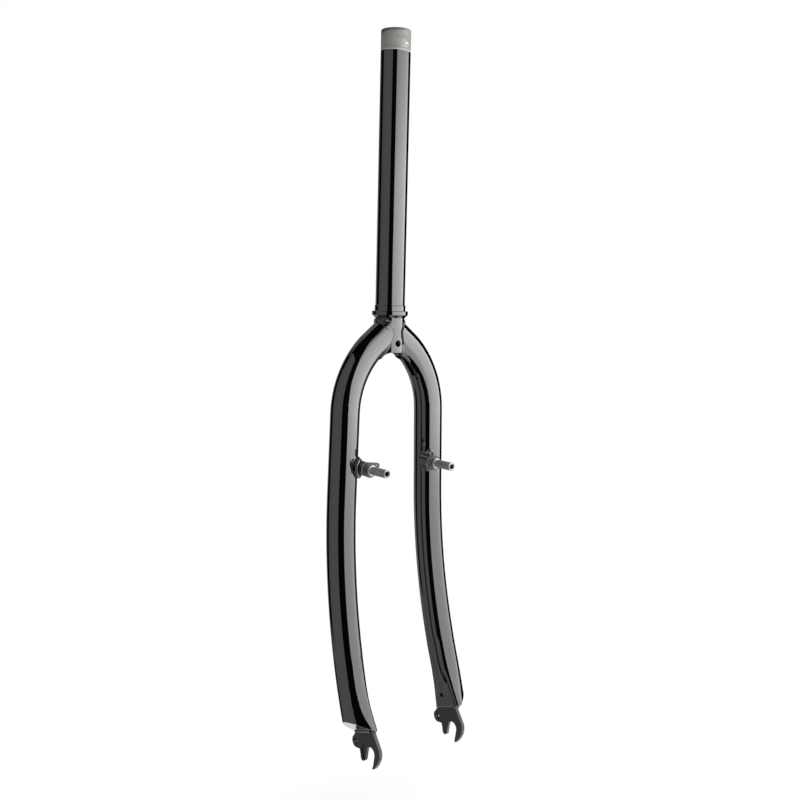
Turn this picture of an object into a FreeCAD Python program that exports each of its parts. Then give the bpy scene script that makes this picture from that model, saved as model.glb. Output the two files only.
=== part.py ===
"""Rigid mountain bike fork with a unicrown, brake studs and open dropouts.

Millimetres. +Z is up along the steerer, forward is -Y and the rider's left is +X.
The origin is the centre of the shoulder that the headset's lower race rests on.
Each left piece is modelled, and its right twin is the mirror image across the YZ plane.
"""
import FreeCAD
import Part
import math
import os

Vector = FreeCAD.Vector

# Steerer tube
STEERER_OD = 28.6
STEERER_WALL = 1.6
STEERER_TOP_Z = 265.0
STEERER_FOOT_Z = -40.0
STEERER_NOTCH_HALF_W = 13.2
STEERER_NOTCH_R = 7.0
STEERER_TOP_CHAMFER = 0.5
RACE_LAND_STEP = 0.2
CROWN_HOLE_D = 6.5
CROWN_HOLE_RISE = 8.9

# Crown race seat, brazed on the steerer
RACE_SEAT_D = 30.1
RACE_SEAT_H = 5.5
RACE_RING_D = 35.0
RACE_RING_H = 4.2
RACE_CONE_H = 2.4
RACE_EDGE = 0.4
RACE_BORE_CLEARANCE = 0.0

# Blades
BLADE_OD = 28.4
BLADE_WALL = 1.6
ROOT_ANGLE_DEG = 52.0
ROOT_BEND_R = 36.0
CROWN_ANGLE_DEG = 46.6
CROWN_BEND_R = 88.0
CROWN_SQUEEZE = 1.5
CROWN_GAP = 3.7
SPLAY_DEG = 1.51
RAKE_START_Z = -177.8

# Pressed and closed blade end, placed from the axle
FORM_START_RISE = 86.7
FORM_QUARTER_RISE = 66.7
FORM_HALF_RISE = 46.7
FORM_END_RISE = 26.7
FORM_END_BACK = 12.0
FORM_END_OUT = 9.35
FORM_TAIL_DROP = 1.3
FORM_QUARTER_SHARE = 0.07
FORM_HALF_SHARE = 0.3
FORM_FLAT_PROUD = 1.2
FORM_FRONT_HALF = 17.2
FORM_REAR_HALF = 15.9
FORM_FRONT_CORNER_R = 6.0
FORM_REAR_CORNER_R = 3.0
FORM_FRONT_R = 12.6
FORM_REAR_R = 14.6
FORM_OUTER_R = 13.8
FORM_FRONT_DEG = 50.0
FORM_REAR_DEG = -55.0
FORM_OUTER_DEG = -8.0
FORM_FLAT_SPREAD_DEG = 46.0
FORM_CORNER_SPREAD_DEG = 68.0
END_RISE_FORWARD = 0.324
END_RISE_OUTWARD = 0.69
END_LINE_BACK = 13.9
END_LINE_RISE = 17.9
VENT_D = 4.5
VENT_BACK = 15.4
VENT_RISE = 29.5

# Dropouts
AXLE_SPACING = 100.0
DROPOUT_T = 3.5
AXLE_FORWARD = 52.7
AXLE_Z = -416.7
AXLE_SLOT_W = 12.4
AXLE_SLOT_LEAN_DEG = 10.5
HOOK_WALL_L = 10.8
FINGER_WALL_L = 8.8
AXLE_RECESS_R = 12.5
AXLE_RECESS_DEPTH = 0.7
EYELET_BACK = 22.4
EYELET_RISE = 4.8
EYELET_R = 6.0
EYELET_HOLE_D = 5.0
PLATE_REAR_BACK = 0.7
PLATE_FRONT_AHEAD = 3.1

# Corners of the dropout: ahead of the axle and above it
SHOULDER = (5.5, 19.5)
HOOK_START = (13.7, 7.9)
HOOK_FRONT = (14.7, 2.7)
HOOK_WAIST = (12.7, -4.0)
HOOK_LOW = (9.6, -9.2)

# Corners of the dropout: ahead of the slot's wall and above its lower end
HOOK_TIP = (1.97, -1.25)
HOOK_TIP_ROUND = (0.57, -1.45)
FINGER_TIP = (-3.4, -3.1)
FINGER_REAR = (-6.6, 0.6)

# Corners of the dropout: ahead of the eyelet and above it
NOTCH_FRONT = (6.8, -6.8)
NOTCH_ROUND = (6.2, -5.7)
NOTCH_REAR = (5.0, -5.4)
WAIST = (-2.2, 7.0)
LOBE_LOW_DEG = -84.0
LOBE_HIGH_DEG = 126.0

# Brake bosses and studs
STUD_SPACING = 80.0
STUD_Z = -149.7
BOSS_FRONT = 20.5
BOSS_BACK = 10.0
BOSS_FRONT_D = 13.4
BOSS_BACK_D = 15.0
SPIGOT_D = 8.0
SPIGOT_L = 6.0
SPIGOT_CLEARANCE = 0.0
FLANGE_D = 13.4
FLANGE_L = 4.5
SPRING_PLATE_T = 2.0
COLLAR_D = 10.0
COLLAR_L = 4.6
POST_D = 8.0
POST_L = 23.1
POST_CHAMFER = 0.8
STUD_HOLE_D = 5.0
STUD_HOLE_DEPTH = 18.0
STUD_HOLE_MOUTH = 0.6
SPRING_PLATE_CLEARANCE = 0.1
SPRING_PLATE_R = 7.3
SPRING_LOBE_R = 2.7
SPRING_HOLE_D = 2.2
SPRING_HOLE_INWARD = 8.0
SPRING_HOLE_UP = 3.7

# Weld beads
CROWN_BEAD_R = 1.5
CROWN_BEAD_REACH_DEG = 58.0
BOSS_WELD_R = 10.2
BOSS_WELD_T = 2.0
DROPOUT_BEAD_R = 1.3

# Values that follow from the sizes above
STEERER_R = STEERER_OD / 2
LAND_R = STEERER_R + RACE_LAND_STEP
RACE_LOW_Z = -RACE_RING_H - RACE_CONE_H
BLADE_R = BLADE_OD / 2
PLATE_INNER_X = AXLE_SPACING / 2
PLATE_OUTER_X = PLATE_INNER_X + DROPOUT_T
STUD_X = STUD_SPACING / 2
FLANGE_END = BOSS_FRONT + FLANGE_L
COLLAR_END = FLANGE_END + COLLAR_L
POST_END = COLLAR_END + POST_L
REACH = STEERER_TOP_Z - 2 * AXLE_Z
PLATE_REAR_FORWARD = AXLE_FORWARD - EYELET_BACK - PLATE_REAR_BACK
PLATE_FRONT_FORWARD = AXLE_FORWARD + PLATE_FRONT_AHEAD
FORWARD = Vector(0, -1, 0)
OUTWARD = Vector(1, 0, 0)
UP = Vector(0, 0, 1)


def at(x, forward, z):
    """Return the point at a distance out, a distance forward and a height."""
    return Vector(x, -forward, z)


def by_axle(x, ahead, above):
    """Return the point at a distance out, and at distances ahead of the axle and above it."""
    return at(x, AXLE_FORWARD + ahead, AXLE_Z + above)


def revolve_z(points):
    """Return the solid swept about the steerer's axis by a closed outline of (radius, z)."""
    corners = [Vector(r, 0, z) for r, z in points]
    face = Part.Face(Part.makePolygon(corners + corners[:1]))
    return face.revolve(Vector(0, 0, 0), UP, 360)


def half_space(point, normal):
    """Return a block that fills the side of a plane that its normal points to."""
    block = Part.makeBox(2 * REACH, 2 * REACH, REACH, Vector(-REACH, -REACH, 0))
    block.Placement = FreeCAD.Placement(point, FreeCAD.Rotation(UP, normal))
    return block


def fuse_all(shapes):
    """Return one solid made of shapes that share faces or overlap."""
    return only_solid(shapes[0].multiFuse(shapes[1:]).removeSplitter())


def only_solid(shape):
    """Return the largest solid of a shape that a cut may have left in a compound."""
    return max(shape.Solids, key=lambda solid: solid.Volume)


class BladePath:
    """The left blade's centre line: lead-in, root bend, crown bend, straight leg and rake.

    The line starts below the race seat and ends at its place above the axle. The crown bend
    lies where the lead-in from the first and the leg from the second are joined by both bends.
    """

    def __init__(self):
        splay = math.radians(SPLAY_DEG)
        crown = math.radians(CROWN_ANGLE_DEG)
        root = math.radians(ROOT_ANGLE_DEG)
        self.leg = Vector(math.sin(splay), 0, -math.cos(splay))
        self.out = Vector(math.cos(splay), 0, math.sin(splay))
        self.lead = Vector(math.sin(root), 0, -math.cos(root))
        self.slope = Vector(math.sin(crown), 0, -math.cos(crown))
        self.bend_deg = CROWN_ANGLE_DEG - SPLAY_DEG
        self.root_deg = ROOT_ANGLE_DEG - CROWN_ANGLE_DEG
        slope_out = Vector(math.cos(crown), 0, math.sin(crown))
        lead_out = Vector(math.cos(root), 0, math.sin(root))

        mitre_rise = (STEERER_R * self.lead.z + BLADE_R) / self.lead.x
        self.root = Vector(0, 0, RACE_LOW_Z - CROWN_GAP - mitre_rise)
        self.end = by_axle(PLATE_INNER_X + FORM_END_OUT, -FORM_END_BACK, FORM_END_RISE)

        both_bends = (self.out - slope_out) * CROWN_BEND_R + (slope_out - lead_out) * ROOT_BEND_R
        foot = Vector(self.end.x, 0, self.end.z) - both_bends
        leg_run = (foot - self.root).dot(lead_out) / self.leg.dot(lead_out)
        self.root_bend = foot - self.leg * leg_run
        self.root_centre = self.root_bend - lead_out * ROOT_BEND_R
        self.bend_start = self.root_centre + slope_out * ROOT_BEND_R
        self.bend_centre = self.bend_start - slope_out * CROWN_BEND_R
        self.bend_end = self.bend_centre + self.out * CROWN_BEND_R

        leg_length = (self.bend_end.z - RAKE_START_Z) / math.cos(splay)
        self.rake_start = self.bend_end + self.leg * leg_length
        drop = (RAKE_START_Z - self.end.z) / math.cos(splay)
        swing = -self.end.y
        self.rake_r = (drop * drop + swing * swing) / (2 * swing)
        self.rake_centre = self.rake_start + FORWARD * self.rake_r

    def rake_angle(self, z):
        """Return the angle along the rake, in radians, where the centre line is at a height."""
        return math.asin((self.rake_start.z - z) / (-self.leg.z * self.rake_r))

    def rake_frame(self, z):
        """Return the centre, the outward axis and the forward axis of the section at a height."""
        angle = self.rake_angle(z)
        front = self.leg * -math.sin(angle) + FORWARD * math.cos(angle)
        centre = self.rake_centre - front * self.rake_r
        return centre, self.out, front


PATH = BladePath()


def formed_section(z, share, inset):
    """Return the blade's section at a height: a circle at share 0, flat on its inner side at share 1."""
    centre, out, front = PATH.rake_frame(z)
    radius = BLADE_R - inset
    flat = (PLATE_INNER_X - FORM_FLAT_PROUD + inset - centre.x) / out.x

    def place(degrees, pressed_out, pressed_front):
        turn = math.radians(degrees)
        across = (1 - share) * radius * math.cos(turn) + share * pressed_out
        along = (1 - share) * radius * math.sin(turn) + share * pressed_front
        return centre + out * across + front * along

    def corner_points(side, half_width, corner_r):
        corner = corner_r - inset
        edge = half_width - corner_r
        diagonal = math.sqrt(0.5) * corner
        flat_deg = 180 - FORM_FLAT_SPREAD_DEG
        side_deg = 180 - FORM_CORNER_SPREAD_DEG
        turn_deg = (flat_deg + side_deg) / 2
        return (
            place(side * flat_deg, flat, side * edge),
            place(side * turn_deg, flat + corner - diagonal, side * (edge + diagonal)),
            place(side * side_deg, flat + corner, side * (edge + corner)),
        )

    flat_front, turn_front, side_front = corner_points(1, FORM_FRONT_HALF, FORM_FRONT_CORNER_R)
    flat_rear, turn_rear, side_rear = corner_points(-1, FORM_REAR_HALF, FORM_REAR_CORNER_R)
    flat_middle = place(180, flat, 0)

    def place_round(degrees, pressed_r):
        turn = math.radians(degrees)
        reach = pressed_r - inset
        return place(degrees, reach * math.cos(turn), reach * math.sin(turn))

    outer = place_round(FORM_OUTER_DEG, FORM_OUTER_R)
    round_front = place_round(FORM_FRONT_DEG, FORM_FRONT_R)
    round_rear = place_round(FORM_REAR_DEG, FORM_REAR_R)
    if share < 1:
        inner_edge = Part.Arc(flat_rear, flat_middle, flat_front)
    else:
        inner_edge = Part.LineSegment(flat_rear, flat_front)
    edges = [
        inner_edge.toShape(),
        Part.Arc(flat_front, turn_front, side_front).toShape(),
        Part.Arc(side_front, round_front, outer).toShape(),
        Part.Arc(outer, round_rear, side_rear).toShape(),
        Part.Arc(side_rear, turn_rear, flat_rear).toShape(),
    ]
    return Part.Wire(edges)


def crown_oval(radius, bend_centre, bend_r, turn_deg, share):
    """Return the blade's section on a crown bend: squeezed fore and aft at share 0, round at share 1."""
    turn = math.radians(turn_deg)
    out = Vector(math.cos(turn), 0, math.sin(turn))
    depth = radius - (1 - share) * CROWN_SQUEEZE / 2
    edge = Part.Ellipse(Vector(), radius, depth).toShape()
    facing = FreeCAD.Rotation(out, FORWARD, out.cross(FORWARD))
    edge.Placement = FreeCAD.Placement(bend_centre + out * bend_r, facing)
    return Part.Wire(edge)


def crown_bars(radius):
    """Return the bars of the lead-in, the root bend and the crown bend, which ends round."""
    side = Vector(0, 1, 0)
    start = Part.Face(crown_oval(radius, PATH.root_centre, ROOT_BEND_R, ROOT_ANGLE_DEG, 0))
    lead = start.extrude(PATH.root - PATH.root_bend)
    root = start.revolve(PATH.root_centre, side, PATH.root_deg)
    ovals = []
    for share in (0, 0.2, 0.4, 0.6, 0.8, 1):
        turn_deg = CROWN_ANGLE_DEG - share * PATH.bend_deg
        ovals.append(crown_oval(radius, PATH.bend_centre, CROWN_BEND_R, turn_deg, share))
    return [lead, root, Part.makeLoft(ovals, True, False)]


def blade_core(radius, inset):
    """Return the full bar along the blade's path, round to the formed end and pressed beyond it."""

    def disc(centre, normal):
        return Part.Face(Part.Wire(Part.makeCircle(radius, centre, normal)))

    rake_deg = math.degrees(PATH.rake_angle(AXLE_Z + FORM_START_RISE))
    leg = disc(PATH.bend_end, PATH.leg).extrude(PATH.rake_start - PATH.bend_end)
    rake = disc(PATH.rake_start, PATH.leg).revolve(PATH.rake_centre, PATH.out * -1, rake_deg)
    stations = [
        (FORM_START_RISE, 0.0),
        (FORM_QUARTER_RISE, FORM_QUARTER_SHARE),
        (FORM_HALF_RISE, FORM_HALF_SHARE),
        (FORM_END_RISE, 1.0),
        (-FORM_TAIL_DROP, 1.0),
    ]
    sections = [formed_section(AXLE_Z + rise, share, inset) for rise, share in stations]
    formed = Part.makeLoft(sections, True, False)
    return fuse_all(crown_bars(radius) + [leg, rake, formed])


def end_planes(inset):
    """Return the blocks that close the blade's end, moved up by a wall thickness."""
    line = by_axle(PLATE_OUTER_X, -END_LINE_BACK, END_LINE_RISE)
    seat = Vector(0, END_RISE_FORWARD, 1).normalize()
    scallop = Vector(-END_RISE_OUTWARD, END_RISE_FORWARD, 1).normalize()
    return [half_space(line + normal * inset, normal) for normal in (seat, scallop)]


def blade_bar(inset):
    """Return the blade's outer form at inset 0, and its hollow at the wall's thickness."""
    bar = blade_core(BLADE_R - inset, inset)
    for block in end_planes(inset):
        bar = bar.common(block)
    return bar


def steerer_bar():
    """Return a solid bar of the steerer's diameter, longer than the joint with the blades."""
    return Part.makeCylinder(STEERER_R, 2 * REACH, Vector(0, 0, -REACH))


def mitre_height(side):
    """Return the height of the blade's upper edge, side 1, or lower edge, side -1, on the steerer."""
    return PATH.root.z + (STEERER_R * PATH.lead.z + side * BLADE_R) / PATH.lead.x


def foot_notch():
    """Return the block that opens the steerer's foot fore and aft between the blades."""
    side = STEERER_NOTCH_HALF_W
    top = STEERER_FOOT_Z
    low = top - REACH
    inner = side - STEERER_NOTCH_R
    turn = top - STEERER_NOTCH_R
    diagonal = math.sqrt(0.5) * STEERER_NOTCH_R

    def place(x, z):
        return at(x, REACH / 2, z)

    outline = Part.Wire([
        Part.LineSegment(place(-side, low), place(-side, turn)).toShape(),
        Part.Arc(place(-side, turn), place(-inner - diagonal, turn + diagonal), place(-inner, top)).toShape(),
        Part.LineSegment(place(-inner, top), place(inner, top)).toShape(),
        Part.Arc(place(inner, top), place(inner + diagonal, turn + diagonal), place(side, turn)).toShape(),
        Part.LineSegment(place(side, turn), place(side, low)).toShape(),
        Part.LineSegment(place(side, low), place(-side, low)).toShape(),
    ])
    return Part.Face(outline).extrude(FORWARD * -REACH)


def make_steerer():
    """Return the steerer tube with its notched foot, the race's land, chamfered top and cross hole."""
    bore_r = STEERER_R - STEERER_WALL
    low = mitre_height(-1)
    tube = revolve_z([
        (bore_r, low),
        (STEERER_R, low),
        (STEERER_R, RACE_LOW_Z),
        (LAND_R, RACE_LOW_Z),
        (LAND_R, RACE_SEAT_H),
        (STEERER_R, RACE_SEAT_H),
        (STEERER_R, STEERER_TOP_Z - STEERER_TOP_CHAMFER),
        (STEERER_R - STEERER_TOP_CHAMFER, STEERER_TOP_Z),
        (bore_r, STEERER_TOP_Z),
    ])
    hole_start = at(0, REACH / 2, STEERER_FOOT_Z + CROWN_HOLE_RISE)
    hole = Part.makeCylinder(CROWN_HOLE_D / 2, REACH, hole_start, FORWARD * -1)
    return only_solid(tube.cut(foot_notch()).cut(hole))


def make_race_seat():
    """Return the turned ring with the race's seat, its shoulder and the cone below."""
    bore_r = LAND_R + RACE_BORE_CLEARANCE
    seat_r = RACE_SEAT_D / 2
    ring_r = RACE_RING_D / 2
    return revolve_z([
        (bore_r, RACE_LOW_Z),
        (ring_r - RACE_EDGE, -RACE_RING_H),
        (ring_r, -RACE_RING_H + RACE_EDGE),
        (ring_r, -RACE_EDGE),
        (ring_r - RACE_EDGE, 0),
        (seat_r, 0),
        (seat_r, RACE_SEAT_H - RACE_EDGE),
        (seat_r - RACE_EDGE, RACE_SEAT_H),
        (bore_r, RACE_SEAT_H),
    ])


def make_blade(outer, hollow, steerer, race):
    """Return the left blade: hollow, mitred on the steerer, with the vent on its inner flat."""
    vent_start = by_axle(PLATE_INNER_X - BLADE_R / 2, -VENT_BACK, VENT_RISE)
    vent = Part.makeCylinder(VENT_D / 2, BLADE_R, vent_start, OUTWARD)
    return only_solid(outer.cut(hollow).cut(steerer).cut(race).cut(vent))


def crown_bead(side):
    """Return the round bead along the blade's upper edge, side 1, or lower edge, side -1, on the steerer.

    Its line is part of an ellipse that sinks into the tubes towards the front and the back,
    because the tubes are tangent there.
    """
    root_z = PATH.root.z
    front = at(0, max(STEERER_R, BLADE_R) - CROWN_BEAD_R, root_z)
    ellipse = Part.Ellipse(Vector(STEERER_R, 0, mitre_height(side)), front, Vector(0, 0, root_z))
    reach = math.radians(CROWN_BEAD_REACH_DEG)
    path = Part.Wire(Part.ArcOfEllipse(ellipse, -reach, reach).toShape())
    start = path.Edges[0]
    tangent = start.tangentAt(start.FirstParameter)
    ring = Part.Wire(Part.makeCircle(CROWN_BEAD_R, start.valueAt(start.FirstParameter), tangent))
    return path.makePipeShell([ring], True, False)


def make_crown_weld(outer, steerer, race):
    """Return the two beads that hold the left blade to the steerer, above and below it."""
    beads = [crown_bead(side).cut(steerer).cut(outer).cut(race) for side in (1, -1)]
    return Part.makeCompound([only_solid(bead) for bead in beads])


def stud_cylinder(diameter, start, end):
    """Return a cylinder about the left stud's axis between two distances forward."""
    return Part.makeCylinder(diameter / 2, end - start, at(STUD_X, start, STUD_Z), FORWARD)


def boss_form():
    """Return the tapered form of the brake boss before it is fitted to the blade."""
    base = at(STUD_X, BOSS_BACK, STUD_Z)
    return Part.makeCone(BOSS_BACK_D / 2, BOSS_FRONT_D / 2, BOSS_FRONT - BOSS_BACK, base, FORWARD)


def make_boss(outer):
    """Return the boss, coped to the blade and bored for the stud's spigot."""
    bore = stud_cylinder(SPIGOT_D + 2 * SPIGOT_CLEARANCE, BOSS_FRONT - SPIGOT_L, BOSS_FRONT)
    return only_solid(boss_form().cut(bore).cut(outer))


def make_boss_weld(outer):
    """Return the saddle of weld that lies on the blade round the boss."""
    saddle = PATH.leg * 4 * BOSS_WELD_R
    middle = PATH.bend_end + PATH.leg * ((PATH.bend_end.z - STUD_Z) / -PATH.leg.z)
    disc = Part.Face(Part.Wire(Part.makeCircle(BLADE_R + BOSS_WELD_T, middle - saddle / 2, PATH.leg)))
    skin = disc.extrude(saddle)
    reach = stud_cylinder(2 * BOSS_WELD_R, BOSS_BACK - 2 * BOSS_WELD_T, BOSS_FRONT)
    return only_solid(skin.common(reach).cut(outer).cut(boss_form()))


def make_stud():
    """Return the turned stud: spigot, flange, collar for the spring plate, post and threaded end."""
    post_r = POST_D / 2
    spigot = stud_cylinder(SPIGOT_D, BOSS_FRONT - SPIGOT_L, BOSS_FRONT)
    flange = stud_cylinder(FLANGE_D, BOSS_FRONT, FLANGE_END)
    collar = stud_cylinder(COLLAR_D, FLANGE_END, COLLAR_END)
    post = stud_cylinder(POST_D, COLLAR_END, POST_END - POST_CHAMFER)
    nose_base = at(STUD_X, POST_END - POST_CHAMFER, STUD_Z)
    nose = Part.makeCone(post_r, post_r - POST_CHAMFER, POST_CHAMFER, nose_base, FORWARD)
    hole = stud_cylinder(STUD_HOLE_D, POST_END - STUD_HOLE_DEPTH, POST_END)
    mouth_base = at(STUD_X, POST_END - STUD_HOLE_MOUTH, STUD_Z)
    mouth_r = STUD_HOLE_D / 2
    mouth = Part.makeCone(mouth_r, mouth_r + STUD_HOLE_MOUTH, STUD_HOLE_MOUTH, mouth_base, FORWARD)
    body = fuse_all([spigot, flange, collar, post, nose])
    return only_solid(body.cut(hole).cut(mouth))


def make_spring_plate():
    """Return the plate round the stud's collar, with the lobe that holds the spring's end."""
    centre = at(STUD_X, FLANGE_END, STUD_Z)
    lobe = centre + Vector(-SPRING_HOLE_INWARD, 0, SPRING_HOLE_UP)
    along = (lobe - centre).normalize()
    across = along.cross(FORWARD)
    lean = (SPRING_PLATE_R - SPRING_LOBE_R) / centre.distanceToPoint(lobe)
    rim = math.sqrt(1 - lean * lean)
    one_side = along * lean + across * rim
    other_side = along * lean - across * rim
    big = [centre + one_side * SPRING_PLATE_R, centre - along * SPRING_PLATE_R,
           centre + other_side * SPRING_PLATE_R]
    small = [lobe + other_side * SPRING_LOBE_R, lobe + along * SPRING_LOBE_R,
             lobe + one_side * SPRING_LOBE_R]
    outline = Part.Wire([
        Part.Arc(*big).toShape(),
        Part.LineSegment(big[2], small[0]).toShape(),
        Part.Arc(*small).toShape(),
        Part.LineSegment(small[2], big[0]).toShape(),
    ])
    plate = Part.Face(outline).extrude(FORWARD * SPRING_PLATE_T)
    bore = stud_cylinder(COLLAR_D + 2 * SPRING_PLATE_CLEARANCE, FLANGE_END, COLLAR_END)
    hole = Part.makeCylinder(SPRING_HOLE_D / 2, SPRING_PLATE_T, lobe, FORWARD)
    return only_solid(plate.cut(bore).cut(hole))


def seat_height(forward):
    """Return the height of the plate's top edge at a distance forward."""
    line_forward = AXLE_FORWARD - END_LINE_BACK
    return AXLE_Z + END_LINE_RISE + END_RISE_FORWARD * (forward - line_forward)


def make_dropout():
    """Return the stamped plate with its slot, hook, finger, eyelet and axle recess."""
    x = PLATE_INNER_X
    lean = math.radians(AXLE_SLOT_LEAN_DEG)
    slot_r = AXLE_SLOT_W / 2
    axle = by_axle(x, 0, 0)
    eyelet = by_axle(x, -EYELET_BACK, EYELET_RISE)
    down = at(0, -math.sin(lean), -math.cos(lean))
    ahead = at(0, math.cos(lean), -math.sin(lean))

    def off(base, corner):
        return base + at(0, *corner)

    def round_eyelet(degrees):
        turn = math.radians(degrees)
        return eyelet + at(0, EYELET_R * math.cos(turn), EYELET_R * math.sin(turn))

    top_rear = at(x, PLATE_REAR_FORWARD, seat_height(PLATE_REAR_FORWARD))
    top_front = at(x, PLATE_FRONT_FORWARD, seat_height(PLATE_FRONT_FORWARD))
    shoulder = off(axle, SHOULDER)
    hook_start = off(axle, HOOK_START)
    hook_waist = off(axle, HOOK_WAIST)
    slot_front = axle + ahead * slot_r
    slot_rear = axle - ahead * slot_r
    tip_rear = slot_front + down * HOOK_WALL_L
    tip_front = off(tip_rear, HOOK_TIP)
    finger_front = slot_rear + down * FINGER_WALL_L
    finger_rear = off(finger_front, FINGER_REAR)
    notch_front = off(eyelet, NOTCH_FRONT)
    notch_rear = off(eyelet, NOTCH_REAR)
    lobe_low = round_eyelet(LOBE_LOW_DEG)
    lobe_high = round_eyelet(LOBE_HIGH_DEG)

    def line(start, end):
        return Part.LineSegment(start, end).toShape()

    def arc(start, middle, end):
        return Part.Arc(start, middle, end).toShape()

    outline = Part.Wire([
        line(top_rear, top_front),
        line(top_front, shoulder),
        line(shoulder, hook_start),
        arc(hook_start, off(axle, HOOK_FRONT), hook_waist),
        arc(hook_waist, off(axle, HOOK_LOW), tip_front),
        arc(tip_front, off(tip_rear, HOOK_TIP_ROUND), tip_rear),
        line(tip_rear, slot_front),
        arc(slot_front, axle - down * slot_r, slot_rear),
        line(slot_rear, finger_front),
        arc(finger_front, off(finger_front, FINGER_TIP), finger_rear),
        line(finger_rear, notch_front),
        arc(notch_front, off(eyelet, NOTCH_ROUND), notch_rear),
        line(notch_rear, lobe_low),
        arc(lobe_low, round_eyelet(180), lobe_high),
        arc(lobe_high, off(eyelet, WAIST), top_rear),
    ])
    plate = Part.Face(outline).extrude(OUTWARD * DROPOUT_T)
    thread = Part.makeCylinder(EYELET_HOLE_D / 2, DROPOUT_T, eyelet, OUTWARD)
    floor = axle + OUTWARD * (DROPOUT_T - AXLE_RECESS_DEPTH)
    recess = Part.makeCylinder(AXLE_RECESS_R, AXLE_RECESS_DEPTH, floor, OUTWARD)
    return only_solid(plate.cut(thread).cut(recess))


def make_dropout_weld(outer, dropout):
    """Return the bead in the corner between the plate's outer face and the blade's end."""
    inset = 2 * DROPOUT_BEAD_R
    rear = PLATE_REAR_FORWARD + inset
    front = PLATE_FRONT_FORWARD - inset
    start = at(PLATE_OUTER_X, rear, seat_height(rear))
    end = at(PLATE_OUTER_X, front, seat_height(front))
    bead = Part.makeCylinder(DROPOUT_BEAD_R, start.distanceToPoint(end), start, end - start)
    return only_solid(bead.cut(outer).cut(dropout))


def build():
    """Return every piece of the fork by its node's name."""
    outer = blade_bar(0.0)
    hollow = blade_bar(BLADE_WALL)
    steerer_solid = steerer_bar()
    race = make_race_seat()
    dropout = make_dropout()
    left = {
        "blade": make_blade(outer, hollow, steerer_solid, race),
        "crown_weld": make_crown_weld(outer, steerer_solid, race),
        "brake_boss": make_boss(outer),
        "boss_weld": make_boss_weld(outer),
        "brake_stud": make_stud(),
        "spring_plate": make_spring_plate(),
        "dropout": dropout,
        "dropout_weld": make_dropout_weld(outer, dropout),
    }
    nodes = {"steerer_tube": make_steerer(), "crown_race_seat": race}
    for name, shape in left.items():
        nodes["left_" + name] = shape
        nodes["right_" + name] = shape.mirror(Vector(0, 0, 0), OUTWARD)
    return nodes


def main():
    """Build every piece, report its volume and write it as a STEP file."""
    os.makedirs("parts", exist_ok=True)
    for name, shape in build().items():
        if not shape.isValid():
            raise ValueError(name + " is not a valid solid")
        print(name, round(shape.Volume, 1), "mm3")
        shape.exportStep("parts/" + name + ".step")


if __name__ == "__main__":
    main()
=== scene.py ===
"""Looks of a rigid mountain bike fork: paint, bare steel, weld ripples, threads, studio and camera.

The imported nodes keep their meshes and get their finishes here. Weld ripples and screw threads,
which are too fine for the solids, are added as pieces of their own.
"""

import logging
import math
import random
from abc import ABC, abstractmethod
from dataclasses import dataclass, field
from enum import Enum

import bmesh
import bpy
from bpy.types import Material, Node, NodeSocket, NodeTree
from mathutils import Matrix, Vector
from mathutils.bvhtree import BVHTree


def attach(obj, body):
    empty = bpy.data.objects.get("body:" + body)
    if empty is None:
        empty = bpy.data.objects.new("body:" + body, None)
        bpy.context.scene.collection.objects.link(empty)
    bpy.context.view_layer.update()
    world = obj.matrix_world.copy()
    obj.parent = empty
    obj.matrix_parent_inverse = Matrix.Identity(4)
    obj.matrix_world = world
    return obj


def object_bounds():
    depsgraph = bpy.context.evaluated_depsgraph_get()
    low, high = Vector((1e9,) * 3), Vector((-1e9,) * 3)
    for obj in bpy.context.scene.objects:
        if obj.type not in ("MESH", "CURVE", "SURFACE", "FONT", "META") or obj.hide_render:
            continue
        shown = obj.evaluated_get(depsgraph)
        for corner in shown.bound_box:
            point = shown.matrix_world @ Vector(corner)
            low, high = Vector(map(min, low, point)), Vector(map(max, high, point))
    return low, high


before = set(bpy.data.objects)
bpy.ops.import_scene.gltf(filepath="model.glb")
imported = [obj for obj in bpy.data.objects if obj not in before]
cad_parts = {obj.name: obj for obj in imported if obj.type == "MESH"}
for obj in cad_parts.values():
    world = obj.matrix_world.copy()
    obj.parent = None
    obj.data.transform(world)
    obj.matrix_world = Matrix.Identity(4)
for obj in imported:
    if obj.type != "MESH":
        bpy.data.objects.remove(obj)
CAD_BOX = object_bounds()

Pair = tuple[float, float]
Triple = tuple[float, float, float]
MM = 0.001
BODY = "root"
LOG = logging.getLogger("fork")


class Side(Enum):
    """The two sides of the fork, by the sign of their X."""

    LEFT = 1
    RIGHT = -1

    @property
    def prefix(self) -> str:
        """Start of the side's node names."""
        return self.name.lower() + "_"


class Slot(Enum):
    """Material slots of the record."""

    GLOSS = "gloss_paint"
    BARE = "bare_steel"
    SATIN = "satin_paint"


def linear(colour: str) -> tuple[float, float, float, float]:
    """Turn an sRGB hex colour to linear light.

    Args:
        colour: six hex digits after a hash sign.

    Returns:
        Red, green, blue and an alpha of 1.
    """
    parts = [int(colour[start:start + 2], 16) / 255 for start in (1, 3, 5)]
    light = [part / 12.92 if part <= 0.04045 else ((part + 0.055) / 1.055) ** 2.4 for part in parts]
    return light[0], light[1], light[2], 1.0


def add_node(tree: NodeTree, kind: str, inputs: dict | None = None, **settings) -> Node:
    """Add a node to a tree with its settings, socket values and links.

    Args:
        tree: node tree of a material, a lamp or the world.
        kind: the node's type.
        inputs: socket name or number, to a value or to another node's output.
        settings: properties of the node itself.

    Returns:
        The new node.
    """
    node = tree.nodes.new(kind)
    for name, value in settings.items():
        setattr(node, name, value)
    for key, value in (inputs or {}).items():
        if isinstance(value, NodeSocket):
            tree.links.new(value, node.inputs[key])
        else:
            node.inputs[key].default_value = value
    return node


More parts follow.
